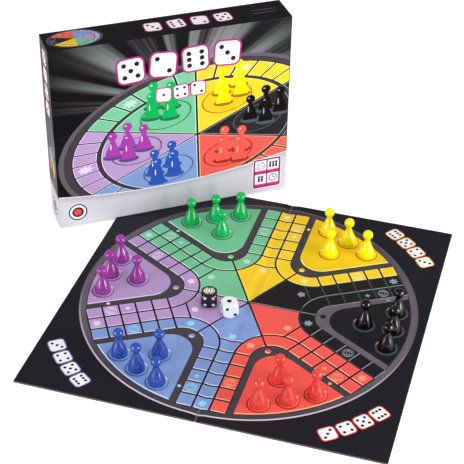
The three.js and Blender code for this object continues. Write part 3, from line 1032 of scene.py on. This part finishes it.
# The narrow faces' places are shares of their width and height, too
sidePlan = {
    "rays": {"at": (0.5, 0.335), "reach": 70 * mm, "light": 0.4, "band": "#d0ced6"},
    "wheelAt": (0.5, 0.335), "squeeze": (0.64, 1), "wheel": 20 * mm, "wheelTurn": -quarter,
    "row": {"at": (0.5, 0.784), "width": 15.5 * mm, "pitch": 20 * mm, "climb": 0, "turn": -90,
            "counts": (5, 2, 6, 3), "tilts": (3, -4, 3, -3)},
    "roundels": ((0.5, 0.078),), "bars": ()}
topPlan = {
    "wheelAt": (0.125, 0.5), "squeeze": (1, 0.62), "wheel": 27 * mm, "wheelTurn": 2 * quarter,
    "row": {"at": (0.585, 0.5), "width": 17 * mm, "pitch": 25.5 * mm, "climb": 0, "turn": 180,
            "counts": (5, 2, 6, 3), "tilts": (4, -4, 5, -3)},
    "roundels": (), "bars": ((0.905, 0.42), (0.905, 0.58)), "bar": (26 * mm, 1 * mm, 0.4 * mm)}


def printFront():
    p = frontPlan
    sheet = startPrint(fineStep)
    size = Vector((boxSize.x, boxSize.z))
    lean, rise, flat = p["flat"]
    seen = Matrix(((1, lean, 0, 0), (rise, flat, 0, 0), (0, 0, 1, 0), (0, 0, 0, 1)))
    wheelAt = placed(size * Vector(p["wheelAt"])) @ seen
    radius = p["wheel"] * size.x
    sheet["turn"] = wheelAt
    printWheel(sheet, radius, 1, p["wheelTurn"])
    sheet["turn"] = Matrix.Identity(4)
    # figures stand on the wheel's homes, the far ones first and each above the last
    stands = []
    for i, name in enumerate(homes):
        for out, swing in p["stands"]:
            at = wheelAt @ Vector((*polar(out * radius, p["wheelTurn"] + i * homeArc + swing), 0))
            stands.append((at.y, at.x, name))
    level = figurePlan["level"]
    for y, x, name in sorted(stands, reverse=True):
        printFigure(sheet, (x, y), name, level)
        level += 3 * figurePlan["levelStep"]
    # the band covers the picture's foot
    ways = [i / p["bandSteps"] * size.x for i in range(p["bandSteps"], -1, -1)]
    for lift, ink in ((p["bandEdge"], "white"), (0, "lid front")):
        level += 1
        top = [(x, bandHeight(x) + lift) for x in ways]
        stamp(sheet, outlineShape((0, 0), (size.x, 0), *top), level, ink)
    for row in p["rows"]:
        printRow(sheet, size, row, level + 1)
    printRoundel(sheet, p["roundelAt"], level + 1)
    printPanel(sheet, level + 1)
    layOnBox(sheet, "front", (0, 0, 0), size)


# The narrow faces have a small track, a row of dice faces, and round targets or plain bars
def printNarrowFace(face, corner, width, height, p):
    sheet = startPrint(fineStep)
    size = Vector((width, height))
    sheet["turn"] = placed(size * Vector(p["wheelAt"])) @ Matrix.Diagonal((*p["squeeze"], 1, 1))
    printWheel(sheet, p["wheel"], 1, p["wheelTurn"])
    sheet["turn"] = Matrix.Identity(4)
    printRow(sheet, size, p["row"], 1)
    for at in p["roundels"]:
        printRoundel(sheet, size * Vector(at), 1)
    for at in p["bars"]:
        stamp(sheet, tileShape(size * Vector(at), *p["bar"]), 1, "ring rim")
    layOnBox(sheet, face, corner, size)


def makeBox():
    width, depth, height = boxSize
    card = plainFinish("white_lined_carton", "#e6e4df", "carton")
    across, up = frontPlan["rays"]["at"]
    frontMiddle = Vector((across * width, 0, up * height))
    across, up = sidePlan["rays"]["at"]
    sideMiddle = Vector((0, across * depth, up * height))
    front = lidPrint("lid_front_film_print", faceTurns["front"], frontMiddle, frontPlan["rays"])
    side = lidPrint("lid_side_film_print", faceTurns["left"], sideMiddle, sidePlan["rays"])
    inks["lid front"] = front
    lid = openShell("lid_shell", boxSize, 1, lidPlan["wall"], lidPlan["edge"], [front, side], boxPlace,
                    lambda normal: 0 if normal.y < -0.5 else 1)
    for _ in range(2):
        lid.data.materials.append(card)
    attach(lid, "box_lid")
    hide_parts("box_lid")
    printFront()
    printNarrowFace("top", (0, 0, height), width, depth, topPlan)
    printNarrowFace("left", (0, depth, 0), depth, height, sidePlan)
    printNarrowFace("right", (width, 0, 0), depth, height, sidePlan)
    tray = openShell("base_tray_shell", traySize, -1, lidPlan["trayWall"], lidPlan["trayEdge"], [card],
                     trayPlace, lambda normal: 0)
    tray.data.materials.append(card)
    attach(tray, "box_base")
    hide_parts("box_base_tray")
    frame["nodes"]["card_insert"].data.materials[0] = card
    frame["nodes"]["rules_leaflet"].data.materials[0] = plainFinish("uncoated_paper", "#f1efe9", "carton")


makeBox()
print("box made and its artwork laid on")


# Stage: white floor, soft light from both sides, and the photograph's camera
stagePlan = {"floor": 6, "glow": 0.4, "glowFrom": 0.5, "glowTo": 1.1, "world": 0.25,
             "camera": (0.36615, -1.03102, 0.87182), "right": (0.95854, 0.28459, 0.01433),
             "forward": (-0.22148, 0.77573, -0.59093), "lens": 104.656, "sensor": 36, "clipStart": 0.01}
sideBox = {"far": 1.2, "width": 0.7, "height": 0.52, "shows": True}
softboxes = {
    "left softbox": {**sideBox, "way": (-0.66, -0.71, 0.21), "power": 8},
    "right softbox": {**sideBox, "way": (0.97, -0.17, 0.21), "power": 15},
    "top softbox": {"way": (0, 0, 1), "far": 1.6, "width": 1.2, "height": 1.2, "power": 14, "shows": False},
}


# 1 where the eye sees the surface itself or through clear plastic, 0 for light on its way to other pieces
def seenStraight(mat):
    path = addNode(mat, "LightPath", {})
    rays = {0: path.outputs["Is Camera Ray"], 1: path.outputs["Is Transmission Ray"]}
    return addNode(mat, "Math", rays, operation="MAXIMUM").outputs[0]


# To the eye the floor keeps the shadows near the set, and further out it turns as white as the background
def makeFloor():
    bm = bmesh.new()
    bmesh.ops.create_grid(bm, x_segments=1, y_segments=1, size=stagePlan["floor"] / 2)
    white = newMaterial("white_floor")
    place = addNode(white, "TexCoord", {}).outputs["Object"]
    far = addNode(white, "VectorMath", {0: place}, operation="LENGTH").outputs["Value"]
    ends = {"From Min": stagePlan["glowFrom"], "From Max": stagePlan["glowTo"], "To Min": stagePlan["glow"]}
    rise = addNode(white, "MapRange", {"Value": far, **ends}, interpolation_type="SMOOTHSTEP")
    seen = {0: rise.outputs[0], 1: seenStraight(white)}
    glow = addNode(white, "Math", seen, operation="MULTIPLY")
    setSurface(white, {"Base Color": toLinear("#f7f7f7"), "Roughness": 0.9, "Specular IOR Level": 0.1,
                       "Emission Color": (1, 1, 1, 1), "Emission Strength": glow.outputs[0]})
    makeObject("floor", bm, [white])


# The background is white to the eye. Nothing here is metal or glass, so reflections keep the plain level.
def makeWorld():
    world = bpy.data.worlds.new("studio")
    bpy.context.scene.world = world
    world.use_nodes = True
    seen = seenStraight(world)
    strength = addNode(world, "MapRange", {"Value": seen, "To Min": stagePlan["world"]})
    back = world.node_tree.nodes["Background"]
    setInputs(world, back, {"Color": (1, 1, 1, 1), "Strength": strength.outputs[0]})


def addSoftbox(name, plan):
    way = Vector(plan["way"]).normalized()
    lamp = setAll(bpy.data.lights.new(name, "AREA"), shape="RECTANGLE", size=plan["width"],
                  size_y=plan["height"], energy=plan["power"])
    obj = addToScene(name, lamp)
    obj.visible_glossy = plan["shows"]
    obj.location = boardMiddle + way * plan["far"]
    obj.rotation_euler = (-way).to_track_quat("-Z", "Y").to_euler()


def addCamera():
    right, forward = Vector(stagePlan["right"]), Vector(stagePlan["forward"])
    lens = setAll(bpy.data.cameras.new("camera"), lens=stagePlan["lens"],
                  sensor_width=stagePlan["sensor"], clip_start=stagePlan["clipStart"])
    obj = addToScene("camera", lens)
    turn = Matrix((right, right.cross(forward), -forward)).transposed()
    obj.matrix_world = Matrix.Translation(stagePlan["camera"]) @ turn.to_4x4()
    bpy.context.scene.camera = obj


makeFloor()
makeWorld()
for name, softbox in softboxes.items():
    addSoftbox(name, softbox)
addCamera()
bpy.context.scene.view_settings.view_transform = "Standard"
print("stage set")
